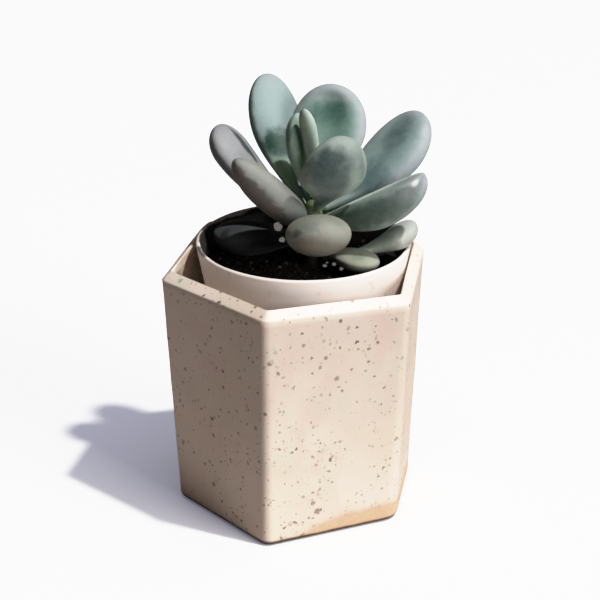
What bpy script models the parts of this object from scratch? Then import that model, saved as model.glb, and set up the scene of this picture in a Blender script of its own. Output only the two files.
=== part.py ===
"""A potted pachyphytum: fat powdery leaves on a short stem, planted in a thin round
liner pot that stands inside a six-sided stoneware pot.

Metres, +Z up. The origin is on the outer pot's underside, near its middle. Turns are
in degrees from the front (-Y), positive towards the right (+X).
"""

import math

import bmesh
import bpy
from mathutils import Matrix, Vector

# Clearance between touching pieces, and the same measured level across a slanting wall
GAP = 0.0003
SLANT_GAP = 0.00036

# Outer pot: a six-sided cachepot, built by hand, wider at the mouth. The corners are where
# the flat outer faces would meet, from the front one round by the right.
POT_HEIGHT = 0.0750
POT_MOUTH = (
    (-0.0111, -0.0390), (0.0308, -0.0262), (0.0364, 0.0180),
    (0.0085, 0.0465), (-0.0312, 0.0357), (-0.0421, -0.0072),
)
POT_FOOT = (
    (-0.0110, -0.0374), (0.0276, -0.0190), (0.0324, 0.0150),
    (0.0070, 0.0405), (-0.0278, 0.0315), (-0.0375, -0.0034),
)
POT_WALL = 0.0033
POT_FLOOR = 0.0065
POT_RIM_ROUND = 0.0034
POT_RIM_ACROSS = 0.0022
POT_LIP_ROUND = 0.0009
POT_FOOT_ROUND = 0.0020
POT_CORNER_MOUTH = 0.0030
POT_CORNER_FOOT = (0.0030, 0.0070, 0.0055, 0.0055, 0.0055, 0.0035)
POT_CORNER_INSIDE = 0.0016
POT_CORNER_STEPS = 5
POT_ROUND_STEPS = 5

# Liner pot: round and thin, its rim above the outer pot's
LINER_CENTRE = (-0.0001, 0.0047)
LINER_RIM_HEIGHT = 0.0803
LINER_RIM_RADIUS = 0.0319
LINER_DEPTH = LINER_RIM_HEIGHT - POT_FLOOR - GAP
LINER_TAPER = 0.20
LINER_WALL = 0.0013
LINER_FLOOR = 0.0016
LINER_FOOT_ROUND = 0.0015
LINER_SEGMENTS = 48
LINER_HOLES = 5
LINER_HOLE_RADIUS = 0.0025
LINER_HOLE_CIRCLE = 0.0100

# Soil, just below the liner's rim
SOIL_HEIGHT = 0.0733
SOIL_MOUND = 0.0005
SOIL_RIPPLE = 0.0002
SOIL_SEGMENTS = 48
SOIL_RINGS = 6

# Plant: how far it leans back, in degrees, and where that puts the foot of its own frame.
# The stem and the leaves below are given in the plant's frame, with the stem upright.
PLANT_LEAN = 3.45
PLANT_FOOT = (0.0, -0.0028, -0.0015)

# Stem, with its foot in the soil
STEM_CENTRE = (0.0030, 0.0)
STEM_FOOT = 0.0600
STEM_SHOULDER = 0.0942
STEM_TIP = 0.0963
STEM_FOOT_RADIUS = 0.0030
STEM_TOP_RADIUS = 0.0024
STEM_TIP_RADIUS = 0.0008
STEM_SWELLING = 0.00015
STEM_SCAR_PITCH = 0.0032
STEM_HOLE_OVER = 0.0040
STEM_SEGMENTS = 16

# Leaves. Each has its place on the stem (height, turn), the rise at which it leaves it and
# the curl upward along it, in degrees, and its length and greatest width. The other values
# are shares: widest is where along the leaf that width is, seat the width at the stem,
# upper and belly the two half thicknesses over the width, slow how late the leaf widens,
# blunt how round its stem end is. seat_turn and seat_out place a seat by hand, and neck is
# how far a short cone reaches from it towards the stem.
LEAF_SEGMENTS = 16
LEAF_RINGS = 13
LEAF_USUAL = dict(
    widest=0.65, seat=0.20, upper=0.22, belly=0.32, slow=1.3, blunt=0.0,
    seat_turn=None, seat_out=None, neck=0.0,
)
LEAVES = {
    "leaf_01_low_right": dict(
        height=0.0778, turn=85.5, rise=6.2, curl=32, length=0.0294, width=0.0134,
        widest=0.80, seat=0.16, belly=0.30, slow=3.0,
    ),
    "leaf_02_low_front": dict(height=0.0803, turn=54, rise=4, curl=-13, length=0.0195, width=0.0115),
    "leaf_03_low_back": dict(height=0.0825, turn=171, rise=-7.2, curl=8, length=0.0250, width=0.0140),
    "leaf_04_low_left": dict(height=0.0835, turn=-112, rise=-8.5, curl=12, length=0.0285, width=0.0182),
    "leaf_05_front": dict(
        height=0.0861, turn=4, rise=15.5, curl=6, length=0.0248, width=0.0190,
        widest=0.58, seat=0.30, upper=0.31, belly=0.34, blunt=0.6,
    ),
    "leaf_06_back": dict(height=0.0880, turn=196, rise=-1.4, curl=10, length=0.0280, width=0.0165),
    "leaf_07_back_right": dict(height=0.0897, turn=146.5, rise=6.5, curl=12, length=0.0320, width=0.0170),
    "leaf_08_far_left": dict(
        height=0.0892, turn=-117, rise=24.5, curl=32, length=0.0386, width=0.0155,
        widest=0.77, slow=1.1,
    ),
    "leaf_09_right": dict(
        height=0.0905, turn=66.5, rise=18, curl=21, length=0.0355, width=0.0166,
        widest=0.54, upper=0.16, belly=0.50, slow=1.0, blunt=0.2,
    ),
    "leaf_10_near_left": dict(
        height=0.0913, turn=-50, rise=42, curl=1, length=0.0316, width=0.0125,
        widest=0.43, seat=0.54, upper=0.34, belly=0.46, blunt=1.0, seat_turn=-64, seat_out=0.0053,
        neck=0.0028,
    ),
    "leaf_11_tall_left": dict(height=0.0924, turn=208, rise=36, curl=30, length=0.0442, width=0.0167),
    "leaf_12_tall_right": dict(
        height=0.0931, turn=118, rise=19.5, curl=34, length=0.0414, width=0.0224, belly=0.35
    ),
    "leaf_13_facing_front": dict(
        height=0.0943, turn=22, rise=39, curl=40, length=0.0304, width=0.0202,
        widest=0.55, upper=0.20, belly=0.30,
    ),
    "leaf_14_tall_back": dict(
        height=0.0953, turn=160, rise=59.5, curl=11, length=0.0342, width=0.0230,
        widest=0.62, seat_out=0.00275,
    ),
    "leaf_15_young_left": dict(
        height=0.0964, turn=240, rise=72, curl=18, length=0.0251, width=0.0100, seat_out=0.0018
    ),
    "leaf_16_young_middle": dict(
        height=0.0968, turn=-47, rise=91, curl=-18, length=0.0276, width=0.0063,
        widest=0.78, seat=0.28, upper=0.25, belly=0.30, blunt=0.4, seat_turn=0, seat_out=0.0009,
    ),
    "leaf_17_bud_right": dict(
        height=0.0962, turn=83, rise=70, curl=10, length=0.0110, width=0.0054, seat=0.35, seat_out=0.0018
    ),
    "leaf_18_bud_back": dict(
        height=0.0964, turn=160, rise=77, curl=6, length=0.0120, width=0.0036, seat=0.35, seat_out=0.0013
    ),
}


def clear_scene():
    for obj in list(bpy.data.objects):
        bpy.data.objects.remove(obj, do_unlink=True)


def material(name, colour, roughness):
    made = bpy.data.materials.new(name)
    made.use_nodes = True
    shader = made.node_tree.nodes["Principled BSDF"]
    shader.inputs["Base Color"].default_value = (*colour, 1.0)
    shader.inputs["Roughness"].default_value = roughness
    shader.inputs["Metallic"].default_value = 0.0
    return made


def object_from(bm, name, finish, smooth_under=40.0):
    """Closes the bmesh into a named object, its faces outwards and its round parts smooth."""
    bmesh.ops.recalc_face_normals(bm, faces=bm.faces)
    mesh = bpy.data.meshes.new(name)
    bm.to_mesh(mesh)
    bm.free()
    mesh.shade_smooth()
    mesh.set_sharp_from_angle(angle=math.radians(smooth_under))
    mesh.materials.append(finish)
    obj = bpy.data.objects.new(name, mesh)
    bpy.context.scene.collection.objects.link(obj)
    return obj


def heading(turn):
    """The level direction at this turn from the front."""
    angle = math.radians(turn)
    return Vector((math.sin(angle), -math.cos(angle), 0.0))


def mix(a, b, share):
    return a + (b - a) * share


def plant(bm):
    """Moves what is built in the plant's frame to where the plant stands."""
    lean = Matrix.Rotation(math.radians(-PLANT_LEAN), 4, "X")
    bmesh.ops.transform(bm, matrix=Matrix.Translation(PLANT_FOOT) @ lean, verts=bm.verts)


def quarter(radius, steps):
    """(across, up) along a quarter round, from its lower end at (0, 0) to (radius, radius)."""
    for i in range(steps + 1):
        angle = math.pi / 2 * i / steps
        yield radius * (1 - math.cos(angle)), radius * math.sin(angle)


def cut(obj, cutter_bm, name):
    """Takes the cutter's shape out of the object."""
    cutter = object_from(cutter_bm, name, obj.data.materials[0])
    cutter.hide_render = True
    cutter.display_type = "WIRE"
    modifier = obj.modifiers.new(name, "BOOLEAN")
    modifier.operation = "DIFFERENCE"
    modifier.solver = "EXACT"
    modifier.object = cutter


# Outer pot


def pot_corners(z):
    """The sharp corners of the outer face at height z."""
    pairs = zip(POT_FOOT, POT_MOUTH)
    return [Vector((*low, 0.0)).lerp(Vector((*high, 0.0)), z / POT_HEIGHT) for low, high in pairs]


def pot_ring(bm, z, inset):
    """A ring of points: the outer face at height z, drawn in by inset, its corners rounded."""
    corners = pot_corners(z)
    verts = []
    for i, corner in enumerate(corners):
        outside = mix(POT_CORNER_FOOT[i], POT_CORNER_MOUTH, z / POT_HEIGHT)
        rounding = max(outside - inset, POT_CORNER_INSIDE)
        before = (corner - corners[i - 1]).normalized()
        after = (corners[(i + 1) % len(corners)] - corner).normalized()
        out_before = Vector((before.y, -before.x, 0.0))
        out_after = Vector((after.y, -after.x, 0.0))
        centre = corner - (inset + rounding) * (out_before + out_after) / (1 + out_before.dot(out_after))
        start = math.atan2(out_before.y, out_before.x)
        swing = out_before.angle(out_after)
        for step in range(POT_CORNER_STEPS + 1):
            angle = start + swing * step / POT_CORNER_STEPS
            arm = rounding * Vector((math.cos(angle), math.sin(angle), 0.0))
            verts.append(bm.verts.new((centre.x + arm.x, centre.y + arm.y, z)))
    return verts


def outer_pot(finish):
    # (height, inset) from the foot up the outside, over the rim and down to the floor inside
    profile = [(POT_FOOT_ROUND - up, across) for across, up in quarter(POT_FOOT_ROUND, 3)][::-1]
    squeeze = POT_RIM_ACROSS / POT_RIM_ROUND
    profile += [
        (POT_HEIGHT - POT_RIM_ROUND + up, across * squeeze)
        for across, up in quarter(POT_RIM_ROUND, POT_ROUND_STEPS)
    ]
    profile += [
        (POT_HEIGHT - POT_LIP_ROUND + up, POT_WALL - across) for across, up in quarter(POT_LIP_ROUND, 3)
    ][::-1]
    profile += [(POT_FLOOR + POT_CORNER_INSIDE, POT_WALL), (POT_FLOOR, POT_WALL + POT_CORNER_INSIDE)]
    bm = bmesh.new()
    rings = [pot_ring(bm, z, inset) for z, inset in profile]
    for lower, upper in zip(rings, rings[1:]):
        for i in range(len(lower)):
            bm.faces.new((lower[i - 1], lower[i], upper[i], upper[i - 1]))
    bm.faces.new(rings[0])
    bm.faces.new(rings[-1])
    object_from(bm, "outer_pot", finish)


# Liner pot


def lathe(bm, profile, centre, segments):
    """Turns a profile of (radius, height), which starts and ends on the axis, about a vertical axis."""
    axis = Vector((centre[0], centre[1], 0.0))
    verts = [bm.verts.new(axis + Vector((radius, 0.0, z))) for radius, z in profile]
    edges = [bm.edges.new(pair) for pair in zip(verts, verts[1:])]
    bmesh.ops.spin(
        bm, geom=verts + edges, cent=axis, axis=(0, 0, 1), angle=math.tau, steps=segments, use_merge=True
    )
    bmesh.ops.remove_doubles(bm, verts=bm.verts, dist=1e-6)


def liner_radius(z):
    return LINER_RIM_RADIUS - LINER_TAPER * (LINER_RIM_HEIGHT - z)


def liner_pot(finish):
    foot = LINER_RIM_HEIGHT - LINER_DEPTH
    lip = LINER_WALL / 2
    top = LINER_RIM_HEIGHT - lip
    profile = [(0.0, foot)]
    profile += [
        (liner_radius(foot) - across, foot + LINER_FOOT_ROUND - up)
        for across, up in quarter(LINER_FOOT_ROUND, 3)
    ][::-1]
    for step in range(5):
        angle = math.pi * step / 4
        profile.append((liner_radius(top) - lip + lip * math.cos(angle), top + lip * math.sin(angle)))
    inside = foot + LINER_FLOOR
    profile += [(liner_radius(inside + LINER_FOOT_ROUND) - LINER_WALL, inside + LINER_FOOT_ROUND)]
    profile += [(liner_radius(inside) - LINER_WALL - LINER_FOOT_ROUND, inside), (0.0, inside)]
    bm = bmesh.new()
    lathe(bm, profile, LINER_CENTRE, LINER_SEGMENTS)
    pot = object_from(bm, "liner_pot", finish)
    drill = bmesh.new()
    for i in range(LINER_HOLES):
        place = LINER_HOLE_CIRCLE * heading(360 / LINER_HOLES * i)
        made = bmesh.ops.create_cone(
            drill, cap_ends=True, segments=12, depth=6 * LINER_FLOOR,
            radius1=LINER_HOLE_RADIUS, radius2=LINER_HOLE_RADIUS,
        )
        shift = place + Vector((*LINER_CENTRE, foot))
        bmesh.ops.translate(drill, verts=made["verts"], vec=shift)
    cut(pot, drill, "liner_drain_holes")


# Soil


def soil_top(offset):
    """The height of the soil's surface at this place from the liner's axis."""
    share = offset.length / liner_radius(SOIL_HEIGHT)
    angle = math.atan2(offset.y, offset.x)
    ripple = math.sin(3 * angle + 9 * share) + 0.6 * math.sin(5 * angle - 14 * share)
    return SOIL_HEIGHT + SOIL_MOUND * (1 - share**2) + SOIL_RIPPLE * ripple * share


def soil(finish):
    foot = LINER_RIM_HEIGHT - LINER_DEPTH + LINER_FLOOR + GAP
    edge = foot + LINER_FOOT_ROUND
    wall = LINER_WALL + SLANT_GAP
    centre = Vector((*LINER_CENTRE, 0.0))
    profile = [(0.0, foot), (liner_radius(foot) - wall - LINER_FOOT_ROUND, foot)]
    profile += [(liner_radius(edge) - wall, edge)]
    outer = liner_radius(SOIL_HEIGHT) - wall
    profile += [(outer * (1 - i / SOIL_RINGS), SOIL_HEIGHT) for i in range(SOIL_RINGS + 1)]
    bm = bmesh.new()
    lathe(bm, profile, LINER_CENTRE, SOIL_SEGMENTS)
    for vert in bm.verts:
        if vert.co.z > SOIL_HEIGHT - GAP:
            vert.co.z = soil_top(vert.co.xy - centre.xy)
    made = object_from(bm, "soil", finish)
    hole = bmesh.new()
    depth = SOIL_HEIGHT + STEM_HOLE_OVER - STEM_FOOT + GAP
    bmesh.ops.create_cone(
        hole, cap_ends=True, segments=STEM_SEGMENTS, depth=depth,
        radius1=stem_radius(STEM_FOOT) + STEM_SWELLING + 1.5 * GAP,
        radius2=stem_radius(SOIL_HEIGHT + STEM_HOLE_OVER) + STEM_SWELLING + 1.5 * GAP,
    )
    bmesh.ops.translate(hole, verts=hole.verts, vec=(*STEM_CENTRE, STEM_FOOT - GAP + depth / 2))
    plant(hole)
    cut(made, hole, "soil_stem_hole")


# Stem


def stem_radius(z):
    return mix(STEM_FOOT_RADIUS, STEM_TOP_RADIUS, (z - STEM_FOOT) / (STEM_SHOULDER - STEM_FOOT))


def stem(finish):
    profile = [(0.0, STEM_FOOT)]
    steps = round((STEM_SHOULDER - STEM_FOOT) / STEM_SCAR_PITCH * 2)
    for i in range(steps + 1):
        z = mix(STEM_FOOT, STEM_SHOULDER, i / steps)
        profile.append((stem_radius(z) + STEM_SWELLING * (i % 2), z))
    profile += [(STEM_TIP_RADIUS, mix(STEM_SHOULDER, STEM_TIP, 0.85)), (0.0, STEM_TIP)]
    bm = bmesh.new()
    lathe(bm, profile, STEM_CENTRE, STEM_SEGMENTS)
    plant(bm)
    object_from(bm, "stem", finish)


# Leaves


def leaf_breadth(leaf, t):
    """The leaf's breadth at t, from 0 at the stem to 1 at the tip, over its greatest breadth."""
    if t >= leaf["widest"]:
        return math.sqrt(max(0.0, 1 - ((t - leaf["widest"]) / (1 - leaf["widest"])) ** 2))
    share = t / leaf["widest"]
    slim = math.sin(math.pi / 2 * share ** leaf["slow"])
    round_end = math.sqrt(1 - (1 - share) ** 2)
    return leaf["seat"] + (1 - leaf["seat"]) * mix(slim, round_end, leaf["blunt"])


def leaf_seat(leaf):
    """Where the middle line starts, a gap away from the stem."""
    thickness = leaf["seat"] * leaf["width"] * max(leaf["upper"], 0.6 * leaf["belly"])
    tilted = thickness * abs(math.sin(math.radians(leaf["rise"])))
    out = leaf["seat_out"] or stem_radius(leaf["height"]) + STEM_SWELLING + GAP + tilted
    turn = leaf["turn"] if leaf["seat_turn"] is None else leaf["seat_turn"]
    return Vector((*STEM_CENTRE, leaf["height"])) + out * heading(turn)


def leaf_point(leaf, t, across, up):
    """A point of the leaf: t along its curled middle line, across and up in its section."""
    side = Vector((math.cos(math.radians(leaf["turn"])), math.sin(math.radians(leaf["turn"])), 0.0))
    rise = math.radians(leaf["rise"])
    ahead = heading(leaf["turn"]) * math.cos(rise) + Vector((0, 0, math.sin(rise)))
    above = ahead.cross(side)
    curl = math.radians(leaf["curl"])
    middle = leaf_seat(leaf)
    middle = middle + ahead * leaf["length"] * math.sin(curl * t) / curl
    middle = middle + above * leaf["length"] * (1 - math.cos(curl * t)) / curl
    upward = math.cos(curl * t) * above - math.sin(curl * t) * ahead
    return middle + side * across + upward * up


def leaf_object(name, values, finish):
    """A ball drawn out into a leaf: its poles become the seat and the tip."""
    leaf = {**LEAF_USUAL, **values}
    bm = bmesh.new()
    bmesh.ops.create_uvsphere(bm, u_segments=LEAF_SEGMENTS, v_segments=LEAF_RINGS, radius=1.0)
    for vert in bm.verts:
        ring = round(math.acos(max(-1.0, min(1.0, -vert.co.z))) / math.pi * LEAF_RINGS)
        t = (1 - math.cos(math.pi * max(ring - 1, 0) / (LEAF_RINGS - 1))) / 2
        breadth = leaf["width"] * leaf_breadth(leaf, t)
        if ring == 0:
            t, breadth = -leaf["neck"] / leaf["length"], 0.0
        angle = math.atan2(vert.co.y, vert.co.x)
        half = leaf["upper"] if math.sin(angle) > 0 else leaf["belly"]
        vert.co = leaf_point(leaf, t, breadth / 2 * math.cos(angle), breadth * half * math.sin(angle))
    plant(bm)
    object_from(bm, name, finish, smooth_under=80.0)


def main():
    clear_scene()
    outer_pot(material("speckled_stoneware", (0.80, 0.69, 0.59), 0.55))
    liner_pot(material("cream_liner", (0.78, 0.66, 0.59), 0.45))
    soil(material("dark_soil", (0.018, 0.014, 0.011), 0.95))
    stem(material("green_brown_stem", (0.16, 0.19, 0.10), 0.80))
    powdery = material("powdery_leaf", (0.40, 0.53, 0.47), 0.60)
    for name, values in LEAVES.items():
        leaf_object(name, values, powdery)


main()
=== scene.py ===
import math
import random

import bmesh
import bpy
from mathutils import Matrix, Vector, noise


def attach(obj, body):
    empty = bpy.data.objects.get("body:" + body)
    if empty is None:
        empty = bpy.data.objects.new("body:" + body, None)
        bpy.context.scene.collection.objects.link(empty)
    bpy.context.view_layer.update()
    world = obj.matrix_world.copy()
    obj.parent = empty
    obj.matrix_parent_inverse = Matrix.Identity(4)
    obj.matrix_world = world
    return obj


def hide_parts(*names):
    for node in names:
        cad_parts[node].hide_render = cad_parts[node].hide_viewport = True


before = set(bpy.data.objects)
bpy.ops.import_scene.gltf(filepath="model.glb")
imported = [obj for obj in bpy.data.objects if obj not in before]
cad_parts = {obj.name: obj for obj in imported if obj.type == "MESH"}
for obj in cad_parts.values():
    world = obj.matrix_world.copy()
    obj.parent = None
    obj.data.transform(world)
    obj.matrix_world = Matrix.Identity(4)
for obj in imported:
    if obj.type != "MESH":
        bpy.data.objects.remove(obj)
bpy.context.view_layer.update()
scene = bpy.context.scene


# small helpers

def mix(a, b, share):
    return a + (b - a) * share


def heading(turn):  # level direction, degrees from the front, positive to the right
    angle = math.radians(turn)
    return Vector((math.sin(angle), -math.cos(angle), 0.0))


def smoothStep(low, high, x):
    share = min(1.0, max(0.0, (x - low) / (high - low)))
    return share * share * (3 - 2 * share)


def meshPiece(bm, name, finish, flat=False):
    mesh = bpy.data.meshes.new(name)
    bm.to_mesh(mesh)
    bm.free()
    if not flat:
        mesh.shade_smooth()
    mesh.materials.append(finish)
    piece = bpy.data.objects.new(name, mesh)
    scene.collection.objects.link(piece)
    return piece


def turnProfile(bm, profile, centre, segments):  # spins (radius, height) pairs about an upright line
    verts = [bm.verts.new((centre[0] + radius, centre[1], z)) for radius, z in profile]
    edges = [bm.edges.new(pair) for pair in zip(verts, verts[1:])]
    bmesh.ops.spin(bm, geom=verts + edges, cent=(*centre, 0), axis=(0, 0, 1), angle=math.tau,
                   steps=segments, use_merge=True)
    bmesh.ops.remove_doubles(bm, verts=bm.verts, dist=1e-6)


def placePiece(piece, slot, *nodes):
    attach(piece, "root")
    if nodes:
        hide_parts(*nodes)


def seenAs(tree, seen, otherwise, end):  # one look for the camera and another for the light
    either = tree.nodes.new("ShaderNodeMixShader")
    camera = tree.nodes.new("ShaderNodeLightPath").outputs["Is Camera Ray"]
    for socket, link in zip(either.inputs, (camera, otherwise.outputs[0], seen.outputs[0])):
        tree.links.new(link, socket)
    tree.links.new(either.outputs[0], tree.nodes[end].inputs["Surface"])


# material building

socketLabels = dict(
    specular="Specular IOR Level", sheen="Sheen Weight", sheenRoughness="Sheen Roughness",
    subsurface="Subsurface Weight", subsurfaceRadius="Subsurface Radius", subsurfaceScale="Subsurface Scale",
    glow="Emission Strength", glowColour="Emission Color",
)


class Shader:  # a Principled material and short ways to add its nodes

    def __init__(self, name):
        self.material = bpy.data.materials.new(name)
        self.material.use_nodes = True
        self.tree = self.material.node_tree
        self.principled = self.tree.nodes["Principled BSDF"]

    def node(self, kind, **settings):
        made = self.tree.nodes.new(kind)
        for key, value in settings.items():
            setattr(made, key, value)
        return made

    def feed(self, socket, value):
        if isinstance(value, bpy.types.NodeSocket):
            self.tree.links.new(value, socket)
        elif isinstance(value, tuple) and len(value) == 3 and socket.type == "RGBA":
            socket.default_value = (*value, 1.0)
        else:
            socket.default_value = value

    def fed(self, kind, values):  # the outputs of a new node that is given these values and links
        made = self.node(kind)
        for name, value in values.items():
            self.feed(made.inputs[name], value)
        return made.outputs

    def objectPlace(self, stretch=(1, 1, 1)):
        place = self.node("ShaderNodeTexCoord").outputs["Object"]
        return self.fed("ShaderNodeMapping", {"Vector": place, "Scale": stretch})[0]

    def attribute(self, name, output="Vector"):
        return self.node("ShaderNodeAttribute", attribute_name=name).outputs[output]

    def split(self, vector):
        return self.fed("ShaderNodeSeparateXYZ", {"Vector": vector})

    def noise(self, place, scale, detail=3.0, roughness=0.5):
        values = {"Vector": place, "Scale": scale, "Detail": detail, "Roughness": roughness}
        return self.fed("ShaderNodeTexNoise", values)

    def cells(self, place, scale):
        return self.fed("ShaderNodeTexVoronoi", {"Vector": place, "Scale": scale})

    def math(self, operation, first, second=0.0):
        made = self.node("ShaderNodeMath", operation=operation)
        self.feed(made.inputs[0], first)
        self.feed(made.inputs[1], second)
        return made.outputs[0]

    def remap(self, value, low, high, toLow=0.0, toHigh=1.0, smooth=True):
        made = self.node("ShaderNodeMapRange")
        made.interpolation_type = "SMOOTHSTEP" if smooth else "LINEAR"
        for socket, amount in zip(made.inputs, (value, low, high, toLow, toHigh)):
            self.feed(socket, amount)
        return made.outputs[0]

    def blend(self, share, first, second):
        made = self.node("ShaderNodeMix", data_type="RGBA")
        self.feed(made.inputs["Factor"], share)
        self.feed(made.inputs[6], first)
        self.feed(made.inputs[7], second)
        return made.outputs[2]

    def bump(self, height, distance, strength=1.0, under=None):
        values = {"Height": height, "Distance": distance, "Strength": strength}
        if under is not None:
            values["Normal"] = under
        return self.fed("ShaderNodeBump", values)[0]

    def finish(self, colour, roughness, normal, **sockets):
        self.feed(self.principled.inputs["Base Color"], colour)
        self.feed(self.principled.inputs["Roughness"], roughness)
        self.feed(self.principled.inputs["Normal"], normal)
        for name, value in sockets.items():
            self.feed(self.principled.inputs[socketLabels[name]], value)
        return self.material


# camera: the photo's angle, a long lens from slightly above

view = dict(
    # the camera stands this far from target, raised by so many degrees, and points at aim
    distance=0.9, raised=24.5, target=(0.0, 0.0, 0.0355), aim=(-0.0011, 0.0102, 0.0588),
    lens=180.0, sensor=36.0, nearest=0.05,
)


def makeCamera():
    camera = bpy.data.objects.new("camera", bpy.data.cameras.new("camera"))
    camera.data.lens = view["lens"]
    camera.data.sensor_width = view["sensor"]
    camera.data.clip_start = view["nearest"]
    raised = math.radians(view["raised"])
    away = Vector((0, -math.cos(raised), math.sin(raised)))
    camera.location = Vector(view["target"]) + view["distance"] * away
    towards = Vector(view["aim"]) - camera.location
    camera.rotation_euler = towards.to_track_quat("-Z", "Y").to_euler()
    scene.collection.objects.link(camera)
    scene.camera = camera


# light and floor

light = dict(
    keyTowards=(0.394, -0.219, 0.893), keyDistance=1.0, keyPower=3.15, keyAngle=3.0,
    keyColour=(1.0, 0.97, 0.93),
    fillTowards=(0.70, -0.60, 0.36), fillDistance=1.6, fillPower=20.5, fillSize=0.8,
    fillColour=(1.0, 0.97, 0.95),
    middle=(0.0, 0.0, 0.06),  # the lamps point here
    skyColour=(1.0, 0.82, 0.80), skyPower=0.022, backdrop=(0.95, 0.95, 0.97),
    floorColour=(0.92, 0.92, 0.91), floorGlow=(0.36, 0.37, 0.465), floorBounce=(0.355, 0.315, 0.305),
    floorSize=6.0, floorContactShade=0.06,  # how far the floor's glow is darkened beside the pot's foot, a painted contact shade
    # how bright parts are eased to white: (brightness, shown)
    shoulder=((0.30, 0.30), (0.60, 0.59), (1.0, 0.88), (1.5, 0.975)), white=2.2,
)


def aimed(name, data, towards, distance):
    lamp = bpy.data.objects.new(name, data)
    lamp.location = Vector(towards).normalized() * distance + Vector(light["middle"])
    lamp.rotation_euler = Vector(towards).to_track_quat("Z", "Y").to_euler()
    scene.collection.objects.link(lamp)


def makeLight():
    key = bpy.data.lights.new("key", "SUN")
    key.energy = light["keyPower"]
    key.angle = math.radians(light["keyAngle"])
    key.color = light["keyColour"]
    aimed("key", key, light["keyTowards"], light["keyDistance"])
    fill = bpy.data.lights.new("fill", "AREA")
    fill.energy = light["fillPower"]
    fill.size = light["fillSize"]
    fill.color = light["fillColour"]
    aimed("fill", fill, light["fillTowards"], light["fillDistance"])

    # the sky lights the plant softly and looks white where it shows behind the floor
    world = bpy.data.worlds.new("studio")
    world.use_nodes = True
    scene.world = world
    sky = world.node_tree.nodes["Background"]
    sky.inputs["Color"].default_value = (*light["skyColour"], 1.0)
    sky.inputs["Strength"].default_value = light["skyPower"]
    seen = world.node_tree.nodes.new("ShaderNodeBackground")
    seen.inputs["Color"].default_value = (*light["backdrop"], 1.0)
    seenAs(world.node_tree, seen, sky, "World Output")


def makeFloor():
    # pale where it is seen, and darker in what it throws back onto the pot
    paper = bpy.data.materials.new("floorPaper")
    paper.use_nodes = True
    nodes, links = paper.node_tree.nodes, paper.node_tree.links
    nodes.remove(nodes["Principled BSDF"])
    seen = nodes.new("ShaderNodeBsdfDiffuse")
    seen.inputs["Color"].default_value = (*light["floorColour"], 1.0)
    glow = nodes.new("ShaderNodeEmission")
    # the glow is darkened by ambient occlusion beside the pot's foot, a painted contact shade
    corner = nodes.new("ShaderNodeAmbientOcclusion")
    corner.inputs["Distance"].default_value = light["floorContactShade"]
    corner.inputs["Color"].default_value = (*light["floorGlow"], 1.0)
    links.new(corner.outputs["Color"], glow.inputs["Color"])
    bright = nodes.new("ShaderNodeAddShader")
    links.new(seen.outputs[0], bright.inputs[0])
    links.new(glow.outputs[0], bright.inputs[1])
    dim = nodes.new("ShaderNodeBsdfDiffuse")
    dim.inputs["Color"].default_value = (*light["floorBounce"], 1.0)
    seenAs(paper.node_tree, bright, dim, "Material Output")
    bm = bmesh.new()
    bmesh.ops.create_grid(bm, x_segments=1, y_segments=1, size=light["floorSize"])
    meshPiece(bm, "floor", paper, flat=True)


# outer pot: speckled stoneware, glazed down to a bare tan foot

pot = dict(
    # where the flat outer faces would meet, from the front corner round by the right
    mouth=(
        (-0.0111, -0.0390), (0.0308, -0.0262), (0.0364, 0.0180), (0.0085, 0.0465), (-0.0312, 0.0357),
        (-0.0421, -0.0072),
    ),
    base=(
        (-0.0110, -0.0374), (0.0276, -0.0190), (0.0324, 0.0150), (0.0070, 0.0405), (-0.0278, 0.0315),
        (-0.0375, -0.0034),
    ),
    height=0.0750, wall=0.0033, floor=0.0065, footRound=0.0020,
    # the rim is a rounding pressed nearly flat, and a small one inside it
    rimRound=0.0026, rimAcross=0.0028, rimFlat=0.92, lipRound=0.0005,
    # how round the corners are
    cornerMouth=0.0030, cornerFoot=(0.0030, 0.0070, 0.0055, 0.0055, 0.0055, 0.0035), cornerInside=0.0016,
    cornerSteps=9, sideSteps=20, wallSteps=34, roundSteps=8, insideSteps=12, creaseAngle=50,
    # how uneven the wall is from its making, and from what height up it is so
    handUneven=0.00022, handScale=34.0, handLeast=0.00002, handFrom=0.004,
)


def potCorners(z):
    pairs = zip(pot["base"], pot["mouth"])
    return [Vector((*low, 0.0)).lerp(Vector((*high, 0.0)), z / pot["height"]) for low, high in pairs]


def potRing(z, inset):  # places round the pot at height z, drawn in from the outer face by inset
    corners = potCorners(z)
    arcs = []
    for i, corner in enumerate(corners):
        outside = mix(pot["cornerFoot"][i], pot["cornerMouth"], z / pot["height"])
        rounding = max(outside - inset, pot["cornerInside"])
        before = (corner - corners[i - 1]).normalized()
        after = (corners[(i + 1) % len(corners)] - corner).normalized()
        outBefore = Vector((before.y, -before.x, 0.0))
        outAfter = Vector((after.y, -after.x, 0.0))
        centre = corner - (inset + rounding) * (outBefore + outAfter) / (1 + outBefore.dot(outAfter))
        start = math.atan2(outBefore.y, outBefore.x)
        swing = outBefore.angle(outAfter)
        angles = [start + swing * step / pot["cornerSteps"] for step in range(pot["cornerSteps"] + 1)]
        arcs.append([centre + rounding * Vector((math.cos(a), math.sin(a), 0.0)) for a in angles])
    places = []
    for i, arc in enumerate(arcs):
        toNext = arcs[(i + 1) % len(arcs)][0]
        steps = pot["sideSteps"]
        places += arc + [arc[-1].lerp(toNext, step / steps) for step in range(1, steps)]
    return [Vector((place.x, place.y, z)) for place in places]


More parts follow.
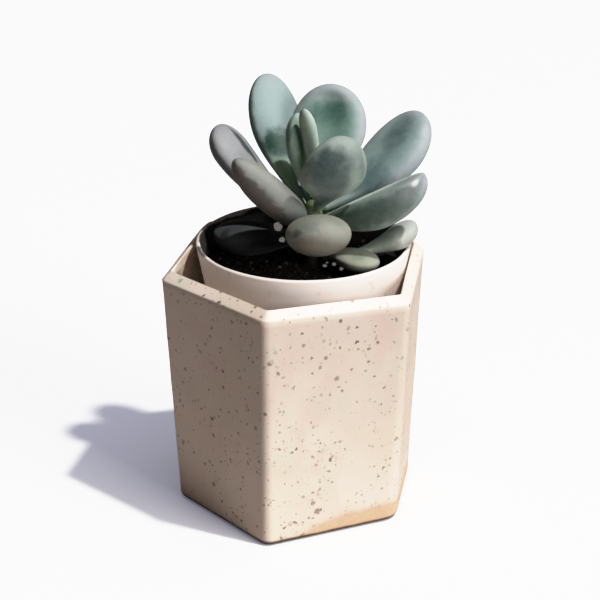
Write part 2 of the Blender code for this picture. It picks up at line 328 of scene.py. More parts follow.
def potProfile():  # (height, inset) from the foot up the outside, over the rim and down inside
    steps = pot["roundSteps"]
    turns = [math.pi / 2 * i / steps for i in range(steps + 1)]
    quarter = [(1 - math.cos(turn), math.sin(turn)) for turn in turns]
    foot, rim, lip = pot["footRound"], pot["rimRound"], pot["lipRound"]
    profile = [(foot * (1 - up), foot * across) for across, up in reversed(quarter)]
    low, high = foot, pot["height"] - rim
    profile += [(mix(low, high, i / pot["wallSteps"]), 0.0) for i in range(1, pot["wallSteps"])]
    for i, (across, up) in enumerate(quarter):
        up, across = (mix(part, i / steps, pot["rimFlat"]) for part in (up, across))
        profile.append((high + rim * up, pot["rimAcross"] * across))
    profile += [(pot["height"] - lip + lip * up, pot["wall"] - lip * across)
                for across, up in reversed(quarter)]
    low, high = pot["floor"] + pot["cornerInside"], pot["height"] - lip
    steps = pot["insideSteps"]
    profile += [(mix(high, low, i / steps), pot["wall"]) for i in range(1, steps + 1)]
    return profile + [(pot["floor"], pot["wall"] + pot["cornerInside"])]


def extrudeRing(bm, ring):
    edges = [bm.edges.get((ring[i - 1], ring[i])) for i in range(len(ring))]
    made = bmesh.ops.extrude_edge_only(bm, edges=edges)["geom"]
    new = {vert for vert in made if isinstance(vert, bmesh.types.BMVert)}
    return [next(edge.other_vert(vert) for edge in vert.link_edges if edge.other_vert(vert) in new)
            for vert in ring]


def handMade(place):  # the slow unevenness of a wall pressed by hand
    where = place * pot["handScale"]
    return pot["handUneven"] * (noise.noise(where) + 0.5 * noise.noise(where * 2.3 + Vector((7, 1, 4))))


def makePot(finish):
    bm = bmesh.new()
    profile = potProfile()
    ring = bmesh.ops.create_circle(bm, segments=len(potRing(0.0, 0.0)), radius=0.03)["verts"]
    rings = []
    for level, (z, inset) in enumerate(profile):
        if level:
            ring = extrudeRing(bm, ring)
        for vert, place in zip(ring, potRing(z, inset)):
            vert.co = place
        rings.append(ring)
    bmesh.ops.contextual_create(bm, geom=rings[0])
    bmesh.ops.contextual_create(bm, geom=rings[-1])
    bmesh.ops.recalc_face_normals(bm, faces=bm.faces)
    bm.normal_update()
    for vert in bm.verts:
        held = smoothStep(0.0, pot["handFrom"], vert.co.z)
        vert.co -= vert.normal * held * (abs(handMade(vert.co)) + pot["handLeast"])
    piece = meshPiece(bm, "outerPotGlazed", finish)
    piece.data.set_sharp_from_angle(angle=math.radians(pot["creaseAngle"]))
    placePiece(piece, "speckled_stoneware", "outer_pot")
    print("outer pot made")


glaze = dict(
    cream=(0.80, 0.68, 0.575), paleCream=(0.84, 0.735, 0.64), cloudScale=45.0,
    pink=(0.80, 0.63, 0.55), pinkShare=0.55, green=(0.72, 0.69, 0.57), greenShare=0.45, tingeScale=95.0,
    # painted light: its tone at the rim's foot and at the base, darker high and lighter low as a painted
    # floor bounce, the painted highlight the rim adds, and the painted floor bounce it adds low on the left
    topShadeTone=0.84, footBounceTone=1.12, rimHighlightTone=0.32,
    leftBounceTone=0.20, leftBounceHeight=0.045, leftBounceFrom=-0.016, leftBounceTo=-0.004,
    # speckles: cells to a metre, size, how many cells have one, colour, how much they gather
    speckles=(
        (300.0, 0.32, 0.36, (0.27, 0.215, 0.15), 0.24),
        (380.0, 0.30, 0.36, (0.16, 0.13, 0.095), 0.22),
        (620.0, 0.36, 0.36, (0.28, 0.225, 0.16), 0.22),
        (1300.0, 0.40, 0.16, (0.42, 0.35, 0.26), 0.12),
    ),
    speckleBend=0.0014, bendScale=1100.0, gatherScale=110.0,
    # bare foot: its height at footFrom and at footTo, measured across the pot
    tan=(0.69, 0.46, 0.27), paleTan=(0.81, 0.61, 0.42), footLow=0.0006, footHigh=0.0054, footFrom=-0.009,
    footTo=0.016, footWander=0.0012, thinHeight=0.0030, thinShare=0.30,
    # the dark edge at the foot is a painted contact shadow
    edge=(0.070, 0.036, 0.026), footShadeHeight=0.0019, footShadeWander=0.0004, footShadeShare=0.92,
    bareRough=0.85, glazedRough=0.46, grainDepth=0.00004, glazeDepth=0.00014,
)


def stoneware():
    shader = Shader("speckledStoneware")
    place = shader.objectPlace()
    parts = shader.split(place)
    x, height = parts["X"], parts["Z"]
    slow = shader.noise(place, glaze["cloudScale"])["Fac"]
    colour = shader.blend(shader.remap(slow, 0.35, 0.65), glaze["cream"], glaze["paleCream"])
    tinge = shader.noise(shader.objectPlace((1.0, 1.0, 0.7)), glaze["tingeScale"], detail=2.0)["Color"]
    red, other = shader.split(tinge)[:2]
    colour = shader.blend(shader.remap(red, 0.50, 0.66, 0.0, glaze["pinkShare"]), colour, glaze["pink"])
    colour = shader.blend(shader.remap(other, 0.52, 0.68, 0.0, glaze["greenShare"]), colour, glaze["green"])
    # painted light: paler towards the foot and low on the left as a painted floor bounce, and on the rim as
    # a painted highlight
    tone = shader.remap(height, 0.0, pot["height"], glaze["footBounceTone"], glaze["topShadeTone"], smooth=False)
    low = shader.remap(height, 0.0, glaze["leftBounceHeight"], 1.0, 0.0)
    leftBounce = shader.math("MULTIPLY", low, shader.remap(x, glaze["leftBounceFrom"], glaze["leftBounceTo"], 1.0, 0.0))
    tone = shader.math("ADD", tone, shader.math("MULTIPLY", leftBounce, glaze["leftBounceTone"]))
    rimLitFrom, rimLitTo = (pot["height"] - share * pot["rimRound"] for share in (1.1, 0.8))
    tone = shader.math("ADD", tone, shader.remap(height, rimLitFrom, rimLitTo, 0.0, glaze["rimHighlightTone"]))
    toned = shader.node("ShaderNodeVectorMath", operation="SCALE")
    shader.feed(toned.inputs[0], colour)
    shader.feed(toned.inputs["Scale"], tone)
    colour = toned.outputs[0]
    # speckles of iron, uneven in shape, size and depth, and gathered in places
    bend = shader.node("ShaderNodeMix", data_type="VECTOR")
    shader.feed(bend.inputs[0], glaze["speckleBend"])
    shader.feed(bend.inputs[4], place)
    shader.feed(bend.inputs[5], shader.noise(place, glaze["bendScale"], detail=2.0)["Color"])
    patches = shader.noise(place, glaze["gatherScale"], detail=2.0)["Fac"]
    marks = 0.0
    for scale, size, keep, tint, gather in glaze["speckles"]:
        cell = shader.cells(bend.outputs[1], scale)
        draw, spread, strength = shader.split(cell["Color"])[:3]
        limit = shader.remap(patches, 0.35, 0.65, keep - gather, keep + gather)
        chosen = shader.math("LESS_THAN", draw, limit)
        reach = shader.math("MULTIPLY", shader.remap(spread, 0.0, 1.0, 0.45, 1.0, smooth=False), size)
        spot = shader.remap(shader.math("DIVIDE", cell["Distance"], reach), 0.55, 1.0, 1.0, 0.0)
        depth = shader.remap(strength, 0.0, 1.0, 0.30, 1.0, smooth=False)
        share = shader.math("MULTIPLY", shader.math("MULTIPLY", spot, chosen), depth)
        colour = shader.blend(share, colour, tint)
        marks = shader.math("MAXIMUM", marks, share)
    # bare clay below an uneven glaze line, which rises towards the right
    wander = shader.noise(place, 75.0, detail=4.0)["Fac"]
    rise = shader.remap(x, glaze["footFrom"], glaze["footTo"], glaze["footLow"], glaze["footHigh"])
    uneven = shader.remap(wander, 0.3, 0.7, -glaze["footWander"], glaze["footWander"], smooth=False)
    line = shader.math("SUBTRACT", height, shader.math("ADD", rise, uneven))
    glazed = shader.remap(line, -0.0008, 0.0012)
    clay = shader.blend(shader.noise(place, 900.0, detail=4.0)["Fac"], glaze["tan"], glaze["paleTan"])
    colour = shader.blend(glazed, clay, colour)
    # the clay shows a little through the thin glaze just above the line
    thin = shader.math("MULTIPLY", shader.remap(line, 0.0004, glaze["thinHeight"], 1.0, 0.0), glazed)
    colour = shader.blend(shader.math("MULTIPLY", thin, glaze["thinShare"]), colour, glaze["paleTan"])
    # the dark edge that the pot stands on, a painted contact shadow
    uneven = shader.remap(wander, 0.3, 0.7, -glaze["footShadeWander"], glaze["footShadeWander"], smooth=False)
    top = glaze["footShadeHeight"]
    footShade = shader.remap(shader.math("ADD", height, uneven), 0.5 * top, top, 1.0, 0.0)
    colour = shader.blend(shader.math("MULTIPLY", footShade, glaze["footShadeShare"]), colour, glaze["edge"])
    # fine grain, pits and speckles that can be felt
    grain = shader.noise(place, 2600.0)["Fac"]
    pits = shader.remap(shader.cells(place, 700.0)["Distance"], 0.05, 0.22)
    roughness = shader.remap(glazed, 0.0, 1.0, glaze["bareRough"], glaze["glazedRough"])
    normal = None
    for relief in (grain, pits, marks):
        normal = shader.bump(relief, glaze["grainDepth"], strength=0.5, under=normal)
    normal = shader.bump(glazed, glaze["glazeDepth"], under=normal)
    return shader.finish(colour, roughness, normal, specular=0.40)


# liner pot: thin, round and cream

liner = dict(
    centre=(-0.0001, 0.0047), rimHeight=0.0803, rimRadius=0.0319, depth=0.0735, taper=0.20, wall=0.0013,
    floor=0.0016, footRound=0.0015, holes=5, holeRadius=0.0025, holeCircle=0.0100, creaseAngle=50,
    segments=128, holeSegments=32, footSteps=6, wallSteps=14, lipSteps=8,
    cream=(0.94, 0.85, 0.80), paleCream=(0.97, 0.90, 0.86), dirt=(0.42, 0.32, 0.24), dirtShare=0.35,
    # its inside's near-black colour is a painted shade
    insideShade=(0.012, 0.010, 0.011), insideShadeShare=0.97,
    insideShadeTop=0.0009, insideShadeWander=0.0010,  # how far below the rim its inside is painted dark, a painted shade
)


def linerRadius(z):
    return liner["rimRadius"] - liner["taper"] * (liner["rimHeight"] - z)


def makeLiner(finish):
    foot = liner["rimHeight"] - liner["depth"]
    wall, rounding = liner["wall"], liner["footRound"]
    lip = wall / 2
    top = liner["rimHeight"] - lip
    inside = foot + liner["floor"]
    bm = bmesh.new()
    profile = [(0.0, foot)]
    for i in range(liner["footSteps"] + 1):
        angle = math.pi / 2 * i / liner["footSteps"]
        out, up = rounding * (1 - math.sin(angle)), rounding * (1 - math.cos(angle))
        profile.append((linerRadius(foot) - out, foot + up))
    steps = liner["wallSteps"]
    upWall = [mix(foot + rounding, top, i / steps) for i in range(1, steps)]
    profile += [(linerRadius(z), z) for z in upWall]
    for i in range(liner["lipSteps"] + 1):
        angle = math.pi * i / liner["lipSteps"]
        profile.append((linerRadius(top) - lip + lip * math.cos(angle), top + lip * math.sin(angle)))
    downWall = [mix(top, inside + rounding, i / steps) for i in range(1, steps + 1)]
    profile += [(linerRadius(z) - wall, z) for z in downWall]
    profile += [(linerRadius(inside) - wall - rounding, inside), (0.0, inside)]
    turnProfile(bm, profile, liner["centre"], liner["segments"])
    bmesh.ops.recalc_face_normals(bm, faces=bm.faces)
    piece = meshPiece(bm, "linerPotCream", finish)
    piece.data.set_sharp_from_angle(angle=math.radians(liner["creaseAngle"]))

    # drain holes through its floor
    drill = bmesh.new()
    for i in range(liner["holes"]):
        made = bmesh.ops.create_cone(drill, cap_ends=True, segments=liner["holeSegments"],
                                     radius1=liner["holeRadius"], radius2=liner["holeRadius"],
                                     depth=6 * liner["floor"])
        where = liner["holeCircle"] * heading(360 / liner["holes"] * i) + Vector((*liner["centre"], foot))
        bmesh.ops.translate(drill, verts=made["verts"], vec=where)
    cutter = meshPiece(drill, "drainHoleCutter", finish)
    boolean = piece.modifiers.new("drainHoles", "BOOLEAN")
    boolean.object = cutter
    bpy.context.view_layer.update()
    cutMesh = bpy.data.meshes.new_from_object(piece.evaluated_get(bpy.context.evaluated_depsgraph_get()))
    piece.modifiers.clear()
    piece.data = cutMesh
    bpy.data.objects.remove(cutter)
    placePiece(piece, "cream_liner", "liner_pot")
    print("liner pot made")


def creamLiner():
    shader = Shader("creamLiner")
    place = shader.objectPlace()
    cloudy = shader.noise(place, 60.0)["Fac"]
    colour = shader.blend(shader.remap(cloudy, 0.3, 0.7), liner["cream"], liner["paleCream"])
    dirt = shader.remap(shader.noise(place, 240.0, detail=5.0)["Fac"], 0.60, 0.78)
    colour = shader.blend(shader.math("MULTIPLY", dirt, liner["dirtShare"]), colour, liner["dirt"])
    # its inside, painted dark up to near the rim, a painted shade
    x, y, height = shader.split(place)[:3]
    offset = [shader.math("SUBTRACT", *pair) for pair in zip((x, y), liner["centre"])]
    squares = [shader.math("MULTIPLY", part, part) for part in offset]
    radius = shader.math("SQRT", shader.math("ADD", *squares))
    narrower = shader.math("MULTIPLY", shader.math("SUBTRACT", liner["rimHeight"], height), liner["taper"])
    outside = shader.math("SUBTRACT", liner["rimRadius"], narrower)
    depth = shader.math("SUBTRACT", outside, radius)
    inside = shader.remap(depth, 0.45 * liner["wall"], 0.8 * liner["wall"])
    wander = shader.remap(cloudy, 0.3, 0.7, -liner["insideShadeWander"], liner["insideShadeWander"], smooth=False)
    low, high = (liner["rimHeight"] - share * liner["insideShadeTop"] for share in (1.0, 0.4))
    damp = shader.remap(shader.math("ADD", height, wander), low, high, 1.0, 0.0)
    insideShaded = shader.math("MULTIPLY", shader.math("MULTIPLY", inside, damp), liner["insideShadeShare"])
    colour = shader.blend(insideShaded, colour, liner["insideShade"])
    fine = shader.noise(place, 3200.0, detail=2.0)["Fac"]
    roughness = shader.remap(cloudy, 0.2, 0.8, 0.38, 0.52)
    return shader.finish(colour, roughness, shader.bump(fine, 0.00001), specular=0.45)


# plant: the stem and the leaves are made upright, then leaned back and set in the soil

plant = dict(lean=3.45, foot=(0.0, -0.0028, -0.0015))


def setInSoil(bm):
    lean = Matrix.Rotation(math.radians(-plant["lean"]), 4, "X")
    bmesh.ops.transform(bm, matrix=Matrix.Translation(plant["foot"]) @ lean, verts=bm.verts)


# stem: short, green-brown, ringed with the scars of old leaves

stem = dict(
    centre=(0.0030, 0.0), foot=0.0600, shoulder=0.0942, tip=0.0963, footRadius=0.0030, topRadius=0.0024,
    tipRadius=0.0008, segments=48, rings=120, tipRings=9,
    scars=16, scarSeed=11, scarLow=0.0735, scarHigh=0.0925, scarTurn=137.5, scarTurnWander=12,
    scarWidth=0.0015, scarHeight=0.0007, scarDepth=0.00016, uneven=0.00008,
    # its colours down in the shade and up near the leaves, and those of its streaks
    low=(0.022, 0.016, 0.012), lowStreak=(0.04, 0.028, 0.02), high=(0.13, 0.18, 0.085),
    highStreak=(0.19, 0.19, 0.12),
)


def stemRadius(z):
    share = (z - stem["foot"]) / (stem["shoulder"] - stem["foot"])
    return mix(stem["footRadius"], stem["topRadius"], share)


def makeStem(finish):
    bm = bmesh.new()
    profile = [(0.0, stem["foot"])]
    for i in range(stem["rings"] + 1):
        z = mix(stem["foot"], stem["shoulder"], i / stem["rings"])
        profile.append((stemRadius(z), z))
    for i in range(1, stem["tipRings"]):
        share = i / stem["tipRings"]
        radius = mix(stem["topRadius"], stem["tipRadius"], share ** 1.6)
        profile.append((radius, mix(stem["shoulder"], stem["tip"], share)))
    profile.append((0.0, stem["tip"]))
    turnProfile(bm, profile, stem["centre"], stem["segments"])
    bmesh.ops.recalc_face_normals(bm, faces=bm.faces)
    bm.normal_update()
    draw = random.Random(stem["scarSeed"])
    wander = stem["scarTurnWander"]
    scars = []
    for i in range(stem["scars"]):
        z = mix(stem["scarLow"], stem["scarHigh"], i / (stem["scars"] - 1))
        turn = stem["scarTurn"] * i + draw.uniform(-wander, wander)
        scars.append(stemRadius(z) * heading(turn) + Vector((*stem["centre"], z)))
    for vert in bm.verts:
        lift = stem["uneven"] * noise.noise(Vector((vert.co.x * 900, vert.co.y * 900, vert.co.z * 350)))
        for scar in scars:  # a raised ring round a hollow
            away = vert.co - scar
            reach = math.hypot(math.hypot(away.x, away.y) / stem["scarWidth"], away.z / stem["scarHeight"])
            lift += stem["scarDepth"] * (smoothStep(1.35, 1.0, reach) - 1.7 * smoothStep(0.95, 0.55, reach))
        vert.co += vert.normal * lift
    setInSoil(bm)
    piece = meshPiece(bm, "stemScarred", finish)
    placePiece(piece, "green_brown_stem", "stem")
    print("stem made")


def stemSkin():
    shader = Shader("stemSkin")
    place = shader.objectPlace((1.0, 1.0, 0.35))
    streaks = shader.noise(place, 1500.0, detail=4.0)["Fac"]
    height = shader.split(shader.objectPlace())[2]
    colour = shader.blend(shader.remap(height, 0.076, 0.091), stem["low"], stem["high"])
    streak = shader.blend(shader.remap(height, 0.078, 0.090), stem["lowStreak"], stem["highStreak"])
    colour = shader.blend(shader.remap(streaks, 0.45, 0.72, 0.0, 0.6), colour, streak)
    return shader.finish(colour, 0.7, shader.bump(streaks, 0.00008), specular=0.3)


# leaves: fat, drawn out of balls, with a waxy powder that handling wears off

leafShared = dict(
    stemSwelling=0.00015, gap=0.0003,  # the room left between a leaf and the stem
    neckNarrow=0.62, uneven=0.00012, unevenScale=130.0,
    markUneven=0.30, coatUneven=0.16, coatScale=150.0, powderAtStem=0.55,
    grainColour=(0.60, 0.66, 0.66), grainShare=0.10,
)
# height, turn and rise say where a leaf starts on the stem and where it points, and curl how far it
# bends up. widest, seat, slow and blunt shape its outline, upper, belly and dish its thickness, and
# neck, seatTurn and seatOut its foot. bloom is the powder's colour in the middle of the leaf and rim on
# its margins and tip, skin what shows where the powder is thin and base the same near the stem, coat and
# rimCoat how thick it lies. A worn place is (degrees round the leaf, with 90 on top, share along it,
# degrees wide, share long, depth, and softness where it isn't 0.5). A stain and a pale place are the same.
# on some leaves the worn places and stains are painted shade, and the pale places painted light
leafUsual = dict(
    widest=0.65, seat=0.20, upper=0.22, belly=0.32, slow=1.3, blunt=0.0, seatTurn=None, seatOut=None,
    neck=0.0011, dish=0.0, segments=96, rings=84,
    bloom=(0.27, 0.37, 0.35), rim=(0.32, 0.38, 0.39), skin=(0.055, 0.105, 0.080), base=(0.10, 0.17, 0.09),
    coat=0.75, rimCoat=0.95, rimBreadth=0.20, wornAndShade=(), stainsAndShade=(), stainAndShadeColour=(0.14, 0.085, 0.05),
    pale=(), paleColour=(0.46, 0.56, 0.50),
)
leaves = dict(
    leaf_01_low_right=dict(
        height=0.0778, turn=85.5, rise=6.2, curl=32, length=0.0294, width=0.0134, widest=0.80, seat=0.16,
        belly=0.30, slow=3.0, bloom=(0.42, 0.46, 0.42), rim=(0.42, 0.46, 0.43), coat=1.0,
        # its pale place is painted light, lifting the cast shadow on its middle
        pale=((150, 0.42, 80, 0.34, 1.0),), paleColour=(0.82, 0.90, 0.82),
    ),
    leaf_02_low_front=dict(
        height=0.0803, turn=54, rise=4, curl=-13, length=0.0195, width=0.0115,
        bloom=(0.30, 0.315, 0.245), rim=(0.32, 0.33, 0.27), coat=0.9, wornAndShade=((120, 0.75, 25, 0.10, 0.35),),
    ),
    leaf_03_low_back=dict(height=0.0825, turn=171, rise=-7.2, curl=8, length=0.0250, width=0.0140),
    leaf_04_low_left=dict(
        height=0.0835, turn=-112, rise=-8.5, curl=12, length=0.0285, width=0.0182,
        # its powder, rim and skin are painted near black, a painted shade
        bloom=(0.050, 0.056, 0.062), rim=(0.058, 0.064, 0.072), skin=(0.012, 0.016, 0.016),
        wornAndShade=((26, 0.79, 25, 0.06, 0.9),),
    ),
    leaf_05_front=dict(
        height=0.0861, turn=4, rise=15.5, curl=6, length=0.0248, width=0.0190, widest=0.58, seat=0.30,
        upper=0.31, belly=0.34, blunt=0.6, bloom=(0.21, 0.222, 0.187), rim=(0.25, 0.26, 0.23), coat=0.92,
        wornAndShade=((176, 0.88, 16, 0.05, 0.75), (130, 0.95, 30, 0.06, 0.3)),
        stainsAndShade=((311, 0.72, 9, 0.045, 0.7), (262, 0.80, 60, 0.30, 0.28)), stainAndShadeColour=(0.17, 0.10, 0.06),
    ),
    leaf_06_back=dict(height=0.0880, turn=196, rise=-1.4, curl=10, length=0.0280, width=0.0165),
    leaf_07_back_right=dict(height=0.0897, turn=146.5, rise=6.5, curl=12, length=0.0320, width=0.0170),
    leaf_08_far_left=dict(
        height=0.0892, turn=-117, rise=24.5, curl=32, length=0.0386, width=0.0155, widest=0.77, slow=1.1,
        bloom=(0.33, 0.345, 0.365), rim=(0.27, 0.28, 0.30), skin=(0.05, 0.065, 0.07), coat=0.92,
        # its first worn place is painted shade on its dark left side, and the second paints a thin dark line
        # along its upper right
        wornAndShade=((332, 0.74, 30, 0.55, 0.85), (103, 0.74, 9, 0.17, 0.95, 0.35)),
    ),
    leaf_09_right=dict(
        height=0.0905, turn=66.5, rise=18, curl=21, length=0.0355, width=0.0166, widest=0.54, upper=0.16,
        belly=0.50, slow=1.0, blunt=0.2,
        # its light base is a painted highlight where it meets the stem
        bloom=(0.31, 0.40, 0.375), rim=(0.33, 0.36, 0.39), base=(0.42, 0.52, 0.38), coat=0.85,
        # its worn places and stain are painted shade on its underside, and its pale places painted
        # highlights on its upper margin, at its foot and near its tip
        wornAndShade=((182, 0.42, 48, 0.36, 0.85), (160, 0.30, 50, 0.12, 0.6)),
        stainsAndShade=((205, 0.75, 34, 0.25, 0.7),), stainAndShadeColour=(0.13, 0.14, 0.15),
        pale=((94, 0.42, 17, 0.62, 1.0), (105, 0.14, 42, 0.14, 1.0), (188, 0.95, 12, 0.025, 0.8)),
        paleColour=(0.66, 0.75, 0.68),
    ),
    leaf_10_near_left=dict(
        height=0.0913, turn=-50, rise=42, curl=1, length=0.0316, width=0.0125, widest=0.43, seat=0.54,
        upper=0.34, belly=0.46, blunt=1.0, seatTurn=-64, seatOut=0.0053, neck=0.0034,
        bloom=(0.24, 0.25, 0.228), rim=(0.25, 0.26, 0.25), coat=0.95,
        # its stain is painted shade on its lower side, below the keel
        stainsAndShade=((284, 0.60, 50, 0.62, 0.92, 0.25),), stainAndShadeColour=(0.100, 0.088, 0.080),
    ),
    leaf_11_tall_left=dict(
        height=0.0924, turn=208, rise=36, curl=30, length=0.0442, width=0.0167,
        bloom=(0.30, 0.405, 0.405), rim=(0.31, 0.38, 0.395), skin=(0.018, 0.070, 0.050),
        base=(0.19, 0.28, 0.18), coat=1.0,
        # its worn places are painted shade, on its dark left side and as a painted shadow of the young leaf
        # beside it; its dark skin deepens that painted shadow, and its pale place is painted light lifting a
        # shadow near its foot
        wornAndShade=((2, 0.66, 20, 0.55, 0.85), (66, 0.475, 38, 0.115, 1.0, 0.3)),
        pale=((32, 0.26, 55, 0.13, 1.0),), paleColour=(0.40, 0.58, 0.42),
    ),
    leaf_12_tall_right=dict(
        height=0.0931, turn=118, rise=19.5, curl=34, length=0.0414, width=0.0224, belly=0.35, dish=0.25,
        bloom=(0.30, 0.41, 0.405), rim=(0.36, 0.41, 0.44), skin=(0.055, 0.105, 0.115), coat=0.80,
        wornAndShade=((92, 0.81, 26, 0.09, 0.45), (100, 0.70, 24, 0.10, 0.42), (131, 0.34, 60, 0.14, 0.65)),
        stainsAndShade=((138, 0.60, 34, 0.34, 0.5),), stainAndShadeColour=(0.14, 0.215, 0.215),
        pale=((35, 0.78, 34, 0.30, 0.55),), paleColour=(0.42, 0.49, 0.50),
    ),
    leaf_13_facing_front=dict(
        height=0.0943, turn=22, rise=39, curl=40, length=0.0304, width=0.0202, widest=0.55, upper=0.20,
        belly=0.30, slow=2.2, bloom=(0.20, 0.25, 0.24), rim=(0.27, 0.33, 0.31), skin=(0.042, 0.068, 0.066),
        base=(0.34, 0.45, 0.30), coat=0.62, rimBreadth=0.30,
        wornAndShade=((240, 0.84, 42, 0.10, 0.98), (225, 0.76, 38, 0.10, 0.7), (262, 0.66, 50, 0.14, 0.5)),
        pale=((218, 0.38, 22, 0.18, 0.55), (300, 0.46, 20, 0.30, 0.55)), paleColour=(0.42, 0.54, 0.44),
    ),
    leaf_14_tall_back=dict(
        height=0.0953, turn=160, rise=59.5, curl=11, length=0.0342, width=0.0230, widest=0.62,
        seatOut=0.00275, dish=0.55, rimBreadth=0.42,
        bloom=(0.26, 0.39, 0.35), rim=(0.37, 0.42, 0.44), skin=(0.045, 0.120, 0.095), coat=0.66,
        wornAndShade=((102, 0.78, 26, 0.08, 0.85, 0.8), (84, 0.71, 34, 0.09, 0.5, 0.7)),
    ),
    leaf_15_young_left=dict(
        height=0.0964, turn=240, rise=72, curl=18, length=0.0251, width=0.0100, seatOut=0.0018,
        bloom=(0.27, 0.42, 0.32), rim=(0.28, 0.38, 0.34), coat=0.82,
        # its worn place is a painted shadow of the young leaf in front, and its pale place painted light
        # lifting the shade low down
        wornAndShade=((350, 0.80, 22, 0.16, 0.75),),
        pale=((50, 0.36, 55, 0.24, 0.9),), paleColour=(0.40, 0.56, 0.40),
    ),
    leaf_16_young_middle=dict(
        height=0.0968, turn=-47, rise=91, curl=-18, length=0.0276, width=0.0063, widest=0.78, seat=0.28,
        upper=0.25, belly=0.30, blunt=0.4, seatTurn=0, seatOut=0.0009,
        bloom=(0.44, 0.59, 0.50), rim=(0.44, 0.53, 0.50), coat=0.97, wornAndShade=((222, 0.78, 30, 0.40, 0.6),),
    ),
    leaf_17_bud_right=dict(
        height=0.0962, turn=83, rise=70, curl=10, length=0.0110, width=0.0054, seat=0.35, seatOut=0.0018,
        segments=48, rings=40,
    ),
    leaf_18_bud_back=dict(
        height=0.0964, turn=160, rise=77, curl=6, length=0.0120, width=0.0036, seat=0.35, seatOut=0.0013,
        segments=48, rings=40,
    ),
)


def leafBreadth(leaf, t):  # breadth at t along the leaf, over its greatest breadth
    if t < 0:
        back = -t * leaf["length"] / leaf["neck"]
        return leaf["seat"] * mix(1.0, leafShared["neckNarrow"], smoothStep(0.0, 1.0, back))
    if t >= leaf["widest"]:
        return math.sqrt(max(0.0, 1 - ((t - leaf["widest"]) / (1 - leaf["widest"])) ** 2))
    share = t / leaf["widest"]
    slim = math.sin(math.pi / 2 * share ** leaf["slow"])
    roundEnd = math.sqrt(1 - (1 - share) ** 2)
    return leaf["seat"] + (1 - leaf["seat"]) * mix(slim, roundEnd, leaf["blunt"])


def leafSeat(leaf):
    thickness = leaf["seat"] * leaf["width"] * max(leaf["upper"], 0.6 * leaf["belly"])
    tilted = thickness * abs(math.sin(math.radians(leaf["rise"])))
    surface = stemRadius(leaf["height"]) + leafShared["stemSwelling"]
    out = leaf["seatOut"] or surface + leafShared["gap"] + tilted
    turn = leaf["turn"] if leaf["seatTurn"] is None else leaf["seatTurn"]
    return Vector((*stem["centre"], leaf["height"])) + out * heading(turn)


def leafPoint(leaf, t, across, up):
    turn = math.radians(leaf["turn"])
    side = Vector((math.cos(turn), math.sin(turn), 0.0))
    rise, curl = math.radians(leaf["rise"]), math.radians(leaf["curl"])
    ahead = heading(leaf["turn"]) * math.cos(rise) + Vector((0, 0, math.sin(rise)))
    above = ahead.cross(side)
    middle = leafSeat(leaf) + ahead * leaf["length"] * math.sin(curl * t) / curl
    middle = middle + above * leaf["length"] * (1 - math.cos(curl * t)) / curl
    return middle + side * across + (math.cos(curl * t) * above - math.sin(curl * t) * ahead) * up


def nearMark(mark, around, t, uneven):  # 1 in the middle of a worn place, a stain or a pale place, some of which are painted shade and painted light, 0 outside
    turn, along, wide, long, depth, *softness = mark
    soft = softness[0] if softness else 0.5
    away = ((around - turn + 180) % 360 - 180) / wide
    reach = math.hypot(away, (t - along) / long) + uneven
    return depth * smoothStep(1 + soft, 1 - soft, reach)


def leafTones(leaf, around, t, where):  # the powder's and the skin's colour, and how thick the powder is
    slow = noise.noise(where) + 0.5 * noise.noise(where * 2.1)
    uneven = leafShared["markUneven"] * (noise.noise(where * 2.6) + 0.5 * noise.noise(where * 6.0))
    breadth = leaf["rimBreadth"]
    edge = max(smoothStep(1 - breadth, 1.0, abs(math.cos(math.radians(around)))),
               smoothStep(1 - 0.8 * breadth, 1.0, t + 0.02 * slow))
    coat = mix(leaf["coat"], leaf["rimCoat"], edge) + leafShared["coatUneven"] * slow
    for mark in leaf["wornAndShade"]:
        coat *= 1 - nearMark(mark, around, t, uneven)
    bloom = Vector(leaf["bloom"]).lerp(Vector(leaf["rim"]), edge)
    for mark in leaf["stainsAndShade"]:
        bloom = bloom.lerp(Vector(leaf["stainAndShadeColour"]), nearMark(mark, around, t, uneven))
    for mark in leaf["pale"]:
        share = nearMark(mark, around, t, uneven)
        bloom = bloom.lerp(Vector(leaf["paleColour"]), share)
        coat = mix(coat, 1.0, share)
    skin = Vector(leaf["base"]).lerp(Vector(leaf["skin"]), smoothStep(0.02, 0.32, t))
    coat *= mix(leafShared["powderAtStem"], 1.0, smoothStep(-0.02, 0.26, t))
    return bloom, skin, min(1.0, max(0.0, coat))


